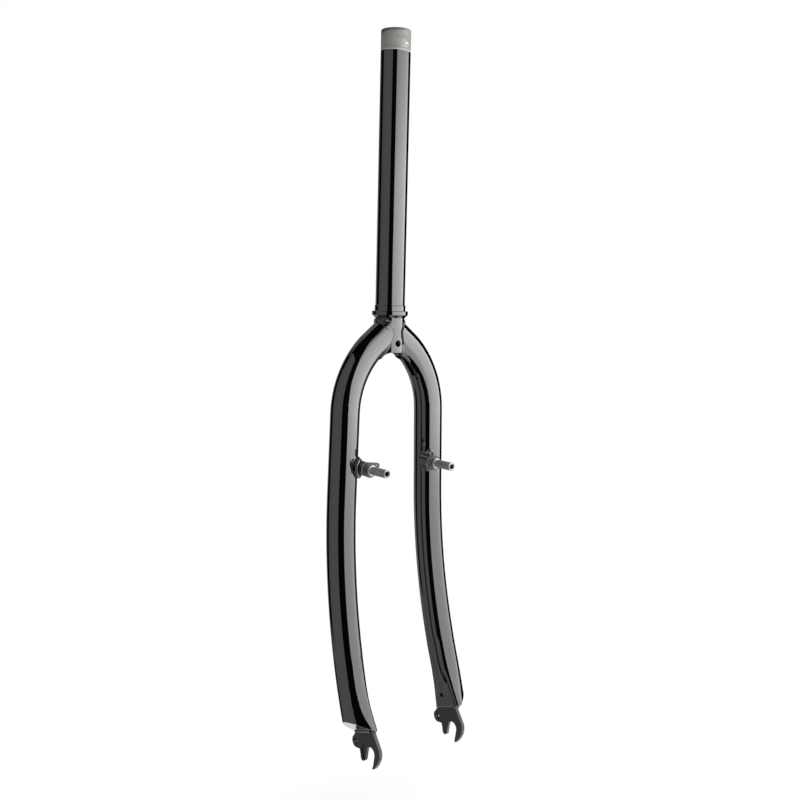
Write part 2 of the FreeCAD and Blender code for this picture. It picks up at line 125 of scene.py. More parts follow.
def object_place(tree: NodeTree) -> NodeSocket:
    """Add the object's own coordinates to a tree and return their output."""
    return add_node(tree, "ShaderNodeTexCoord").outputs["Object"]


def noise(tree: NodeTree, place: NodeSocket, size_mm: float, detail: float,
          roughness: float = 0.5) -> NodeSocket:
    """Add a noise to a tree.

    Args:
        tree: the material's tree.
        place: coordinates that it varies over.
        size_mm: width of its largest spots.
        detail: number of finer layers.
        roughness: strength of the finer layers.

    Returns:
        The output with its value, from 0 to 1.
    """
    return add_node(tree, "ShaderNodeTexNoise", {
        "Vector": place, "Scale": 1 / (size_mm * MM), "Detail": detail,
        "Roughness": roughness}).outputs["Fac"]


def spread(tree: NodeTree, value: NodeSocket, limits: Pair, to: Pair = (0.0, 1.0)) -> NodeSocket:
    """Add a node that spreads the values between two limits over a range, and holds them beyond.

    Args:
        tree: the tree of a material, a lamp or the world.
        value: the output with the values.
        limits: values that become the ends of the range.
        to: the range.

    Returns:
        The output with the spread values.
    """
    return add_node(tree, "ShaderNodeMapRange", {
        "Value": value, "From Min": limits[0], "From Max": limits[1],
        "To Min": to[0], "To Max": to[1]}).outputs["Result"]


def bump(tree: NodeTree, height: NodeSocket, depth_mm: float) -> NodeSocket:
    """Add a relief of a given depth to a tree and return the output with the bent normal."""
    return add_node(tree, "ShaderNodeBump", {
        "Height": height, "Distance": depth_mm * MM, "Strength": 1.0}).outputs["Normal"]


def mix_colours(tree: NodeTree, share: NodeSocket, first: NodeSocket | tuple[float, ...],
                second: tuple[float, ...]) -> NodeSocket:
    """Add a mix of two colours, with a share of the second, and return the output with it."""
    return add_node(tree, "ShaderNodeMix", {"Factor": share, "A": first, "B": second},
                    data_type="RGBA").outputs["Result"]


def new_material(name: str) -> tuple[Material, NodeTree, Node]:
    """Make a material whose tree holds only its output.

    Args:
        name: the material's name.

    Returns:
        The material, its tree and its output node.
    """
    material = bpy.data.materials.new(name)
    material.use_nodes = True
    tree = material.node_tree
    tree.nodes.clear()
    return material, tree, add_node(tree, "ShaderNodeOutputMaterial")


def dress(name: str, material: Material) -> None:
    """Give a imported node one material.

    Args:
        name: the node's name.
        material: what it gets in its only slot.
    """
    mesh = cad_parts[name].data
    mesh.materials.clear()
    mesh.materials.append(material)
    LOG.info("dressed %s in %s", name, material.name)


def link_object(name: str, shape: bmesh.types.BMesh, material: Material) -> bpy.types.Object:
    """Turn a bmesh into an object of the scene.

    Args:
        name: name of the object and its mesh.
        shape: its mesh, freed here.
        material: its finish.

    Returns:
        The new object.
    """
    mesh = bpy.data.meshes.new(name)
    shape.to_mesh(mesh)
    shape.free()
    mesh.materials.append(material)
    item = bpy.data.objects.new(name, mesh)
    bpy.context.scene.collection.objects.link(item)
    return item


def add_piece(name: str, shape: bmesh.types.BMesh, material: Material) -> None:
    """Turn a bmesh into a smooth-shaded piece that rides with the fork.

    Args:
        name: the piece's name.
        shape: its mesh in the fork's frame, freed here.
        material: its finish.
    """
    for face in shape.faces:
        face.smooth = True
    piece = link_object(name, shape, material)
    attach(piece, BODY)
    LOG.info("added %s with %d faces", name, len(piece.data.polygons))


class Finish(ABC):
    """A surface finish with a name and one shader. A grain is a noise's detail and roughness."""

    name: str

    @abstractmethod
    def shader(self, tree: NodeTree) -> NodeSocket:
        """Add the finish's shader to a tree.

        Args:
            tree: the material's tree.

        Returns:
            The shader's output.
        """

    def material(self) -> Material:
        """Return a new material of this finish."""
        material, tree, output = new_material(self.name)
        tree.links.new(self.shader(tree), output.inputs["Surface"])
        return material


@dataclass(frozen=True)
class GlossPaint(Finish):
    """Black gloss enamel on steel tube: dark, wet-looking, with faint orange peel and dust.

    Fields:
        colour and dusty: paint colour, and its colour where dust has settled.
        peel_mm: width of the orange peel's waves.
    """

    name: str = "black gloss enamel"
    colour: str = "#020203"
    dusty: str = "#060607"
    ior: float = 1.5
    roughness: float = 0.04
    coat_ior: float = 1.8
    coat_roughness: float = 0.015
    peel_mm: float = 6.0
    peel_grain: Pair = (2.0, 0.4)
    peel_depth_mm: float = 0.003
    dust_mm: float = 18.0
    dust_grain: Pair = (6.0, 0.7)

    def shader(self, tree: NodeTree) -> NodeSocket:
        """Add the paint's shader to a tree.

        Args:
            tree: the material's tree.

        Returns:
            The shader's output.
        """
        place = object_place(tree)
        normal = bump(tree, noise(tree, place, self.peel_mm, *self.peel_grain), self.peel_depth_mm)
        dust = noise(tree, place, self.dust_mm, *self.dust_grain)
        return add_node(tree, "ShaderNodeBsdfPrincipled", {
            "Base Color": mix_colours(tree, dust, linear(self.colour), linear(self.dusty)),
            "Roughness": self.roughness, "IOR": self.ior,
            "Coat Weight": 1.0, "Coat Roughness": self.coat_roughness, "Coat IOR": self.coat_ior,
            "Normal": normal, "Coat Normal": normal}).outputs["BSDF"]


@dataclass(frozen=True)
class BareSteel(Finish):
    """Turned or drawn low-carbon steel, unpainted and dulled by handling: grey, with fine tool lines.

    Fields:
        colour and worn: dulled steel, and steel rubbed bright.
        roughness_spread: how far the roughness lies below and above its mean along the lines.
        line_mm: spacing of the tool lines, drawn coarser than the real ones so that they show.
        line_axis: axis that the lines go round, 0 for X, 1 for Y and 2 for Z.
        line_stretch: how little the lines vary across that axis.
        stain_limits: noise levels where rubbed steel starts and is full.
    """

    name: str = "turned bare steel"
    colour: str = "#b4b3b1"
    worn: str = "#cccac7"
    scratched: str = "#e2e1de"
    # colour that the bare steel darkens to at the steerer's top rim, deeper on one side
    dark_rim_colour: str = "#55574f"
    metallic: float = 1.0
    roughness: float = 0.5
    roughness_spread: Pair = (0.08, 0.1)
    line_mm: float = 0.5
    line_detail: float = 3.0
    line_depth_mm: float = 0.012
    line_axis: int = 2
    line_stretch: float = 0.02
    stain_mm: float = 6.0
    stain_grain: Pair = (8.0, 0.65)
    stain_limits: Pair = (0.42, 0.68)

    def shader(self, tree: NodeTree, scuff: NodeSocket | None = None,
               rim: NodeSocket | None = None) -> NodeSocket:
        """Add the steel's shader to a tree.

        Args:
            tree: the material's tree.
            scuff: share of freshly scratched steel, where there is any.
            rim: share of the darker rim colour, where there is any.

        Returns:
            The shader's output.
        """
        place = object_place(tree)
        stretch = [self.line_stretch] * 3
        stretch[self.line_axis] = 1.0
        along = add_node(tree, "ShaderNodeMapping", {"Vector": place, "Scale": stretch}).outputs["Vector"]
        lines = noise(tree, along, self.line_mm, self.line_detail)
        stain = noise(tree, place, self.stain_mm, *self.stain_grain)
        tint = mix_colours(tree, spread(tree, stain, self.stain_limits),
                           linear(self.colour), linear(self.worn))
        for share, colour in ((scuff, self.scratched), (rim, self.dark_rim_colour)):
            if share is not None:
                tint = mix_colours(tree, share, tint, linear(colour))
        below, over = self.roughness_spread
        rough = spread(tree, lines, (0.0, 1.0), (self.roughness - below, self.roughness + over))
        return add_node(tree, "ShaderNodeBsdfPrincipled", {
            "Base Color": tint, "Metallic": self.metallic, "Roughness": rough,
            "Normal": bump(tree, lines, self.line_depth_mm)}).outputs["BSDF"]


@dataclass(frozen=True)
class SteererFinish(Finish):
    """Gloss enamel that stops short of the steerer's top, which stays bare for the stem.

    The bare band is scratched bright along the paint's edge and in one patch, and dark at its rim.

    Fields:
        paint and steel: the two finishes.
        line_mm: height of the paint's edge on the tube's axis.
        lean: what a unit along X and Y adds to the height over the edge.
        ragged_mm: how far the edge strays up and down.
        edge_mm: width of the bright strip above the paint.
        core: share of the strip's and the patch's width where they are brightest.
        scuff_mm: middle of the scratched patch.
        streak_limits: noise levels where a scratch starts and is full.
        rim_mm: height where the dark rim starts on the tube's axis.
        rim_lean: how much deeper the dark rim is for each unit along X and Y.
        rim_ragged_mm: how far the rim's edge strays up and down.
    """

    paint: GlossPaint = field(default_factory=GlossPaint)
    steel: BareSteel = field(default_factory=lambda: BareSteel(
        name="dull bare steel", colour="#8d8c89", worn="#a09e9a", roughness=0.75, metallic=0.6,
        line_mm=0.6))
    name: str = "enamel with a bare top"
    line_mm: float = 244.9
    lean: Pair = (0.033, -0.026)
    ragged_mm: float = 0.2
    wander_mm: float = 4.0
    wander_detail: float = 3.0
    edge_mm: float = 1.4
    edge_share: float = 0.35
    core: float = 0.5
    scuff_mm: Triple = (0.3, -14.3, 250.4)
    scuff_r_mm: float = 5.0
    scratch_mm: float = 5.0
    scratch_detail: float = 1.0
    scratch_stretch: float = 8.0
    streak_limits: Pair = (0.54, 0.62)
    rim_mm: float = 262.0
    rim_share: float = 0.8
    rim_fade_mm: float = 1.2
    rim_lean: Pair = (-0.12, 0.1)
    rim_ragged_mm: float = 2.4
    rim_wander_mm: float = 12.0

    def height(self, tree: NodeTree, place: NodeSocket, lean: Pair, ragged_mm: float,
               wander_mm: float) -> NodeSocket:
        """Return a point's height for a leaning and ragged edge, in metres.

        Args:
            tree: the material's tree.
            place: the point's coordinates.
            lean: what a unit along X and Y adds to the height.
            ragged_mm: mean of what the noise adds to it.
            wander_mm: width of the noise's spots.

        Returns:
            The output with the height.
        """
        level = add_node(tree, "ShaderNodeVectorMath", {0: place, 1: (*lean, 1.0)},
                         operation="DOT_PRODUCT").outputs["Value"]
        wander = noise(tree, place, wander_mm, self.wander_detail)
        return add_node(tree, "ShaderNodeMath", {0: wander, 1: 2 * ragged_mm * MM, 2: level},
                        operation="MULTIPLY_ADD").outputs["Value"]

    def scuffs(self, tree: NodeTree, place: NodeSocket) -> NodeSocket:
        """Return the share of level scratches in the scuffed patch.

        Args:
            tree: the material's tree.
            place: the point's coordinates.

        Returns:
            The output with the share.
        """
        middle = [value * MM for value in self.scuff_mm]
        away = add_node(tree, "ShaderNodeVectorMath", {0: place, 1: middle}, operation="DISTANCE")
        patch = spread(tree, away.outputs["Value"], (self.scuff_r_mm * MM, self.core * self.scuff_r_mm * MM))
        flat = add_node(tree, "ShaderNodeMapping", {
            "Vector": place, "Scale": (1.0, 1.0, self.scratch_stretch)}).outputs["Vector"]
        streak = spread(tree, noise(tree, flat, self.scratch_mm, self.scratch_detail), self.streak_limits)
        return add_node(tree, "ShaderNodeMath", {0: patch, 1: streak}, operation="MULTIPLY").outputs["Value"]

    def rim(self, tree: NodeTree, place: NodeSocket) -> NodeSocket:
        """Return the share of the darker colour at the tube's top rim, which reaches deeper on one side.

        Args:
            tree: the material's tree.
            place: the point's coordinates.

        Returns:
            The output with the share.
        """
        # darker towards the top rim, reaching further down towards -X and +Y
        height = self.height(tree, place, self.rim_lean, self.rim_ragged_mm, self.rim_wander_mm)
        start = (self.rim_mm + self.rim_ragged_mm) * MM
        return spread(tree, height, (start, start + self.rim_fade_mm * MM), (0.0, self.rim_share))

    def shader(self, tree: NodeTree) -> NodeSocket:
        """Add both finishes and the paint's edge to a tree.

        Args:
            tree: the material's tree.

        Returns:
            The output of the mixed shaders.
        """
        place = object_place(tree)
        height = self.height(tree, place, self.lean, self.ragged_mm, self.wander_mm)
        line = (self.line_mm + self.ragged_mm) * MM
        above = add_node(tree, "ShaderNodeMath", {0: height, 1: line}, operation="SUBTRACT").outputs["Value"]
        bare = add_node(tree, "ShaderNodeMath", {0: above, 1: 0.0}, operation="GREATER_THAN")
        strip = spread(tree, above, (self.edge_mm * MM, self.core * self.edge_mm * MM),
                       (0.0, self.edge_share))
        bright = add_node(tree, "ShaderNodeMath", {0: strip, 1: self.scuffs(tree, place)},
                          operation="MAXIMUM")
        steel = self.steel.shader(tree, bright.outputs["Value"], self.rim(tree, place))
        return add_node(tree, "ShaderNodeMixShader", {
            0: bare.outputs["Value"], 1: self.paint.shader(tree), 2: steel}).outputs["Shader"]


@dataclass(frozen=True)
class SatinPaint(Finish):
    """Black powder coat on stamped plate: low sheen, fine grain, rubbed grey in places.

    Fields:
        colour and rubbed: the coat's colour, and its colour where it is rubbed.
        rub_limits: noise levels where rubbing starts and is full.
    """

    name: str = "satin black powder coat"
    colour: str = "#030304"
    rubbed: str = "#0a0a0b"
    roughness: float = 0.12
    ior: float = 1.75
    grain_mm: float = 1.6
    grain_detail: float = 3.0
    grain_depth_mm: float = 0.05
    rub_mm: float = 9.0
    rub_grain: Pair = (7.0, 0.7)
    rub_limits: Pair = (0.4, 0.7)

    def shader(self, tree: NodeTree) -> NodeSocket:
        """Add the coat's shader to a tree.

        Args:
            tree: the material's tree.

        Returns:
            The shader's output.
        """
        place = object_place(tree)
        normal = bump(tree, noise(tree, place, self.grain_mm, self.grain_detail), self.grain_depth_mm)
        rub = spread(tree, noise(tree, place, self.rub_mm, *self.rub_grain), self.rub_limits)
        return add_node(tree, "ShaderNodeBsdfPrincipled", {
            "Base Color": mix_colours(tree, rub, linear(self.colour), linear(self.rubbed)),
            "Roughness": self.roughness, "IOR": self.ior, "Normal": normal}).outputs["BSDF"]


@dataclass
class Finishes:
    """One material of each finish, shared by the sub-assemblies."""

    gloss: Material = field(default_factory=lambda: GlossPaint().material())
    steerer: Material = field(default_factory=lambda: SteererFinish().material())
    steel: Material = field(default_factory=lambda: BareSteel(line_axis=1).material())
    # darker pressed steel: the spring plates' own colour, and also painted shade on the studs' threads
    # inside their holes
    plate_steel_and_hole_shade: Material = field(default_factory=lambda: BareSteel(
        name="dull pressed steel and hole shade", colour="#4a4a49", worn="#636261", line_axis=0).material())
    satin: Material = field(default_factory=lambda: SatinPaint().material())
    dull: Material = field(default_factory=lambda: SatinPaint(
        name="dull black paint in corners", roughness=0.6, ior=1.4).material())


@dataclass
class Ripple:
    """One ripple of a weld bead: a flattened lump, seated by its point and normal.

    Fields:
        run: the bead's direction.
        form: length, width and height.
        grow: what the form is multiplied by.
    """

    point: Vector
    normal: Vector
    run: Vector
    form: Triple
    grow: float

    def matrix(self) -> Matrix:
        """Return the placement that makes a unit sphere into this ripple."""
        up = self.normal.normalized()
        along = (self.run - up * self.run.dot(up)).normalized()
        across = up.cross(along)
        turn = Matrix((along, across, up)).transposed().to_4x4()
        size = Matrix.Diagonal((*(length * self.grow for length in self.form), 1))
        return Matrix.Translation(self.point) @ turn @ size


def weld_mesh(ripples: list[Ripple]) -> bmesh.types.BMesh:
    """Join a row of ripples in one mesh.

    Args:
        ripples: the lumps of one bead, in order.

    Returns:
        A mesh of overlapping closed lumps.
    """
    shape = bmesh.new()
    for ripple in ripples:
        bmesh.ops.create_icosphere(shape, subdivisions=2, radius=1.0, matrix=ripple.matrix())
    return shape


@dataclass
class Crown:
    """Steerer, race seat, blades and the welds that join them. Sizes are in millimetres.

    The blades are mitred on the steerer. A smooth fillet of weld fills the corner above each blade,
    with a rippled toe on the steerer. A fine rippled bead lies below, and another in the front corner.
    """

    finishes: Finishes
    steerer_r: float = 14.3
    blade_r: float = 14.2
    blade_depth_r: float = 13.45
    root_z: float = -17.15
    root_deg: float = 52.0
    fillet_reach_deg: float = 84.0
    fillet_side_rise: float = 1.6
    fillet_front_rise: dict[Side, float] = field(
        default_factory=lambda: {Side.RIGHT: 6.4, Side.LEFT: 1.2})
    fillet_rear_rise: float = 2.4
    fillet_slope: float = 0.94
    fillet_skin: float = 0.3
    fillet_end_power: int = 6
    fillet_grid: tuple[int, int] = (56, 8)
    toe_reach_deg: float = 64.0
    toe_ripples: int = 23
    toe_size: float = 1.25
    toe_wander: float = 0.5
    low_reach_deg: float = 60.0
    low_ripples: int = 25
    low_size: float = 0.8
    bead_uneven: Pair = (0.8, 1.25)
    bead_form: Triple = (1.0, 1.3, 0.9)
    crease_reach_deg: Pair = (62.0, 88.0)
    crease_ripples: int = 28
    crease_size: dict[Side, float] = field(
        default_factory=lambda: {Side.RIGHT: 0.45, Side.LEFT: 1.2})
    crease_uneven: Pair = (0.7, 1.3)
    crease_form: Triple = (1.4, 1.0, 0.8)
    dull_crease: Side = Side.LEFT
    step_ahead: float = 0.02
    seed: int = 4

    def dress(self) -> None:
        """Give the tubes and the race seat their paint."""
        dress("steerer_tube", self.finishes.steerer)
        dress("crown_race_seat", self.finishes.gloss)
        for side in Side:
            for piece in ("blade", "crown_weld"):
                dress(side.prefix + piece, self.finishes.gloss)

    def mitre(self, side: Side, edge: int, turn: float) -> tuple[Vector, Vector]:
        """Find a point of the blade's edge on the steerer.

        Args:
            side: left or right blade.
            edge: 1 for the blade's upper edge, -1 for its lower edge.
            turn: angle round the blade from its side line, in radians, positive to the back.

        Returns:
            The point, and the direction that halves the corner between the tubes.
        """
        slope = math.radians(self.root_deg)
        y = self.blade_depth_r * math.sin(turn)
        x = math.sqrt(self.steerer_r ** 2 - y ** 2)
        z = self.root_z - x / math.tan(slope) + edge * self.blade_r * math.cos(turn) / math.sin(slope)
        steerer_normal = Vector((side.value * x, y, 0)).normalized()
        blade_out = Vector((side.value * math.cos(slope), 0, math.sin(slope)))
        blade_normal = blade_out * edge * math.cos(turn) + Vector((0, math.sin(turn), 0))
        return Vector((side.value * x, y, z)), (steerer_normal + blade_normal).normalized()

    def toe_rise(self, side: Side, turn: float) -> float:
        """Find how far the fillet climbs the steerer.

        Args:
            side: left or right blade.
            turn: angle round the blade from its side line, in radians, positive to the back.

        Returns:
            The rise above the blade's edge.
        """
        fade = 1 - (turn / math.radians(self.fillet_reach_deg)) ** self.fillet_end_power
        end_rise = self.fillet_rear_rise if turn > 0 else self.fillet_front_rise[side]
        rise = self.fillet_side_rise + (end_rise - self.fillet_side_rise) * math.sin(turn) ** 2
        return rise * fade

    def fillet(self, side: Side) -> bmesh.types.BMesh:
        """Shape the smooth fillet of weld above a blade.

        Args:
            side: left or right blade.

        Returns:
            A thin closed shell, tangent to both tubes.
        """
        slope = math.radians(self.root_deg)
        lead = Vector((side.value * math.sin(slope), 0, -math.cos(slope)))
        along, across = self.fillet_grid
        shape = bmesh.new()
        bmesh.ops.create_grid(shape, x_segments=along, y_segments=across, size=1.0)
        for vertex in shape.verts:
            turn = vertex.co.x * math.radians(self.fillet_reach_deg)
            share = (vertex.co.y + 1) / 2
            corner, _ = self.mitre(side, 1, turn)
            rise = self.toe_rise(side, turn)
            on_steerer = (corner + Vector((0, 0, rise))).lerp(corner, share)
            on_blade = corner.lerp(corner + lead * self.fillet_slope * rise, share)
            vertex.co = on_steerer.lerp(on_blade, share) * MM
        bmesh.ops.recalc_face_normals(shape, faces=shape.faces)
        bmesh.ops.solidify(shape, geom=shape.faces, thickness=self.fillet_skin * MM)
        bmesh.ops.recalc_face_normals(shape, faces=shape.faces)
        return shape

    def beads(self, side: Side, draw: random.Random) -> list[Ripple]:
        """Lay the ripples of the fillet's toe and of the bead below a blade.

        Args:
            side: left or right blade.
            draw: source of the beads' unevenness.

        Returns:
            The ripples of both beads.
        """
        rows = ((1, self.toe_reach_deg, self.toe_ripples, self.toe_size),
                (-1, self.low_reach_deg, self.low_ripples, self.low_size))
        found = []
        for edge, reach_deg, count, size in rows:
            for number in range(count):
                turn = math.radians(reach_deg) * (2 * number / (count - 1) - 1)
                point, normal = self.mitre(side, edge, turn)
                ahead, _ = self.mitre(side, edge, turn + self.step_ahead)
                if edge > 0:
                    point.z += self.toe_rise(side, turn) + draw.uniform(-self.toe_wander, self.toe_wander)
                grow = size * draw.uniform(*self.bead_uneven) * MM
                found.append(Ripple(point * MM, normal, ahead - point, self.bead_form, grow))
        return found

    def crease(self, side: Side, draw: random.Random) -> list[Ripple]:
        """Lay the fine ripples in the corner at the front of the joint.

        Args:
            side: left or right blade.
            draw: source of the bead's unevenness.

        Returns:
            The ripples of the corner.
        """
        first, last = (math.radians(value) for value in self.crease_reach_deg)
        found = []
        for edge in (1, -1):
            for number in range(self.crease_ripples):
                turn = -first - (last - first) * number / (self.crease_ripples - 1)
                point, normal = self.mitre(side, edge, turn)
                ahead, _ = self.mitre(side, edge, turn + self.step_ahead)
                grow = self.crease_size[side] * draw.uniform(*self.crease_uneven) * MM
                found.append(Ripple(point * MM, normal, ahead - point, self.crease_form, grow))
        return found

    def build(self) -> None:
        """Add the fillet, the rippled beads and the front corner's bead of each blade."""
        draw = random.Random(self.seed)
        for side in Side:
            add_piece(side.prefix + "crown_fillet", self.fillet(side), self.finishes.gloss)
            beads = weld_mesh(self.beads(side, draw))
            add_piece(side.prefix + "crown_ripples", beads, self.finishes.gloss)
            crease = weld_mesh(self.crease(side, draw))
            finish = self.finishes.dull if side is self.dull_crease else self.finishes.gloss
            add_piece(side.prefix + "crown_crease", crease, finish)


@dataclass(frozen=True)
class BossBead:
    """How the weld round one boss was laid. Sizes are in millimetres.

    Fields:
        radii: rings of ripples round the boss.
        ripples: number of them in each ring.
        size: radius of a ripple.
        height: how far it stands out.
        uneven: share by which ripples differ.
    """

    radii: tuple[float, ...]
    ripples: int
    size: float
    height: float
    uneven: float


@dataclass
class BrakeMounts:
    """Brake bosses, their welds, the studs and the spring plates. Sizes are in millimetres.

    The right boss has one neat bead in its corner. The left one is rough, and ends in a long lump.
    """

    finishes: Finishes
    stud_x: float = 40.0
    stud_z: float = -149.7
    stud_tip_forward: float = 52.7
    leg_x: float = 53.0
    start_forward: float = 17.0
    beads: dict[Side, BossBead] = field(default_factory=lambda: {
        Side.RIGHT: BossBead((8.2,), 90, 1.6, 1.9, 0.03),
        Side.LEFT: BossBead((8.0, 9.8), 17, 1.5, 0.9, 0.25)})
    end_side: Side = Side.LEFT
    end_turn_deg: float = 66.0
    end_r: float = 10.6
    end_form: Triple = (4.2, 2.2, 2.0)
    seed: int = 9

    def dress(self) -> None:
        """Paint the bosses and leave the studs and spring plates bare."""
        for side in Side:
            for piece in ("brake_boss", "boss_weld"):
                dress(side.prefix + piece, self.finishes.gloss)
            dress(side.prefix + "brake_stud", self.finishes.steel)
            dress(side.prefix + "spring_plate", self.finishes.plate_steel_and_hole_shade)

    def seat(self, walls: list[BVHTree], side: Side, radius: float,
             turn: float) -> tuple[Vector, Vector] | None:
        """Find a point of the weld or the blade beside the boss, by a ray towards the blade's middle.

        Args:
            walls: the surfaces of the weld and the blade.
            side: left or right boss.
            radius: distance from the boss's axis.
            turn: angle round the boss from outwards, in radians.

        Returns:
            The point and the surface's normal there, or None past the blade.
        """
        x = side.value * (self.stud_x + radius * math.cos(turn))
        z = self.stud_z + radius * math.sin(turn)
        start = Vector((x, -self.start_forward, z)) * MM
        toward = Vector((side.value * self.leg_x, 0, z)) * MM - start
        nearest = None
        reach = toward.length
        for wall in walls:
            place, normal, _, distance = wall.ray_cast(start, toward.normalized(), toward.length)
            if place is not None and distance < reach:
                nearest = place, normal
                reach = distance
        return nearest

    def ring(self, side: Side, draw: random.Random) -> list[Ripple]:
        """Lay the ripples round a boss.

        Args:
            side: left or right boss.
            draw: source of the bead's unevenness.

        Returns:
            The ripples of the ring.
        """
        bead = self.beads[side]
        lumps = []
        for radius in bead.radii:
            for number in range(bead.ripples):
                turn = 2 * math.pi * (number + draw.uniform(-bead.uneven, bead.uneven)) / bead.ripples
                grow = draw.uniform(1 - bead.uneven, 1 + bead.uneven)
                lumps.append((radius, turn, (bead.size * grow, bead.size * grow, bead.height * grow)))
        if side is self.end_side:
            lumps.append((self.end_r, math.radians(self.end_turn_deg), self.end_form))
        graph = bpy.context.evaluated_depsgraph_get()
        walls = [BVHTree.FromObject(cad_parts[side.prefix + name], graph)
                 for name in ("boss_weld", "blade")]
        found = []
        for radius, turn, form in lumps:
            seat = self.seat(walls, side, radius, turn)
            if seat is not None:
                run = Vector((-side.value * math.sin(turn), 0, math.cos(turn)))
                found.append(Ripple(*seat, run, form, MM))
        return found

    def build(self) -> None:
        """Add the rippled weld round each boss."""
        draw = random.Random(self.seed)
        for side in Side:
            ripples = weld_mesh(self.ring(side, draw))
            add_piece(side.prefix + "boss_ripples", ripples, self.finishes.gloss)


@dataclass
class Dropouts:
    """Stamped dropout plates and the beads along their tops. Sizes are in millimetres."""

    finishes: Finishes
    inner_x: float = 50.0
    outer_x: float = 53.5
    rear_forward: float = 29.6
    front_forward: float = 55.8
    seat_forward: float = 38.8
    seat_z: float = -398.8
    seat_slope: float = 0.324
    eyelet_forward: float = 30.3
    eyelet_z: float = -411.9
    inner_ripples: int = 26
    inner_size: float = 0.7
    inner_uneven: Pair = (0.8, 1.25)
    inner_form: Triple = (1.2, 1.0, 0.8)
    inner_lean: float = -0.6
    front_lumps: int = 4
    rear_lumps: int = 3
    end_size: float = 1.8
    end_uneven: Pair = (0.75, 1.2)
    end_form: Triple = (0.8, 1.3, 1.0)
    end_lean: float = 0.2
    end_overhang: float = 0.8
    end_wander: float = 0.4
    seed: int = 15

    def dress(self) -> None:
        """Give the plates the satin coat and their beads the blades' enamel."""
        for side in Side:
            dress(side.prefix + "dropout", self.finishes.satin)
            dress(side.prefix + "dropout_weld", self.finishes.gloss)

    def seat(self, x: float, forward: float) -> Vector:
        """Return a point of the plate's top edge at a distance out and a distance forward."""
        return Vector((x, -forward, self.seat_z + self.seat_slope * (forward - self.seat_forward))) * MM

    def inner_bead(self, side: Side, draw: random.Random) -> list[Ripple]:
        """Lay the ripples along the top of the plate's inner face.

        Args:
            side: left or right plate.
            draw: source of the bead's unevenness.

        Returns:
            The ripples of the face.
        """
        run = Vector((0, -1, self.seat_slope))
        normal = Vector((-side.value, 0, self.inner_lean))
        found = []
        for number in range(self.inner_ripples):
            share = (number + 0.5) / self.inner_ripples
            forward = self.rear_forward + share * (self.front_forward - self.rear_forward)
            grow = self.inner_size * draw.uniform(*self.inner_uneven) * MM
            place = self.seat(side.value * self.inner_x, forward)
            found.append(Ripple(place, normal, run, self.inner_form, grow))
        return found

    def end_lumps(self, side: Side, draw: random.Random) -> list[Ripple]:
        """Lay the lumps of weld at the front and the rear end of the plate's top.

        Args:
            side: left or right plate.
            draw: source of the lumps' unevenness.

        Returns:
            The lumps of both ends.
        """
        run = Vector((1, 0, 0))
        ends = ((self.front_forward, -1, self.front_lumps), (self.rear_forward, 1, self.rear_lumps))
        found = []
        for end, facing, count in ends:
            normal = Vector((0, facing, self.end_lean))
            for number in range(count):
                x = self.inner_x + (self.outer_x - self.inner_x) * (number + 0.5) / count
                grow = self.end_size * draw.uniform(*self.end_uneven) * MM
                stray = draw.uniform(-self.end_wander, self.end_wander)
                place = self.seat(side.value * x, end - self.end_overhang * facing + stray)
                found.append(Ripple(place, normal, run, self.end_form, grow))
        return found

    def build(self) -> None:
        """Add the rippled beads of each plate."""
        draw = random.Random(self.seed)
        for side in Side:
            ripples = weld_mesh(self.inner_bead(side, draw) + self.end_lumps(side, draw))
            add_piece(side.prefix + "dropout_ripples", ripples, self.finishes.gloss)


@dataclass
class Threads:
    """Screw threads in the studs and in the dropouts' eyelets. Sizes are in millimetres.

    Each is one ridge that winds along the drilled wall.

    Fields:
        mounts and plates: where the studs and the eyelets are.
        sunk: depth of the ridge's foot in the wall.
        steps: number of sections in each turn.
        stud_mouth: depth at which a stud's thread starts.
    """

    finishes: Finishes
    mounts: BrakeMounts
    plates: Dropouts
    hole_r: float = 2.5
    sunk: float = 0.05
    height: float = 0.54
    half_width: float = 0.42
    pitch: float = 1.0
    steps: int = 24
    stud_mouth: float = 0.9
    stud_length: float = 14.0

    def ridge(self, start: Vector, along: Vector, length: float) -> bmesh.types.BMesh:
        """Wind a ridge of three sides along a hole.

        Args:
            start: the hole's mouth, on its axis.
            along: direction into the hole.
            length: how deep the thread goes.

        Returns:
            A closed ridge.
        """
        across = along.orthogonal().normalized()
        steps = round((length - 2 * self.half_width) / self.pitch * self.steps)
        root = start + along * self.half_width
        wall = root + across * (self.hole_r + self.sunk)
        crest = root + across * (self.hole_r - self.height)
        corners = [wall - along * self.half_width, wall + along * self.half_width, crest]
        shape = bmesh.new()
        verts = [shape.verts.new(corner * MM) for corner in corners]
        edges = [shape.edges.new((verts[number], verts[number - 1])) for number in range(len(verts))]
        wound = bmesh.ops.spin(shape, geom=verts + edges, cent=start * MM, axis=along,
                               dvec=along * self.pitch / self.steps * MM,
                               angle=2 * math.pi * steps / self.steps, steps=steps)
        bmesh.ops.contextual_create(shape, geom=verts)
        last = [item for item in wound["geom_last"] if isinstance(item, bmesh.types.BMVert)]
        bmesh.ops.contextual_create(shape, geom=last)
        bmesh.ops.recalc_face_normals(shape, faces=shape.faces)
        return shape

    def build(self) -> None:
        """Add the thread of each stud and each eyelet."""
        mounts, plates = self.mounts, self.plates
        for side in Side:
            mouth_y = self.stud_mouth - mounts.stud_tip_forward
            mouth = Vector((side.value * mounts.stud_x, mouth_y, mounts.stud_z))
            stud = self.ridge(mouth, Vector((0, 1, 0)), self.stud_length)
            # the stud's thread takes the darker plate steel, not the stud's own steel: painted shade inside
            # the threaded hole
            add_piece(side.prefix + "stud_thread", stud, self.finishes.plate_steel_and_hole_shade)
            inner = Vector((side.value * plates.inner_x, -plates.eyelet_forward, plates.eyelet_z))
            eyelet = self.ridge(inner, Vector((side.value, 0, 0)), plates.outer_x - plates.inner_x)
            add_piece(side.prefix + "eyelet_thread", eyelet, self.finishes.dull)


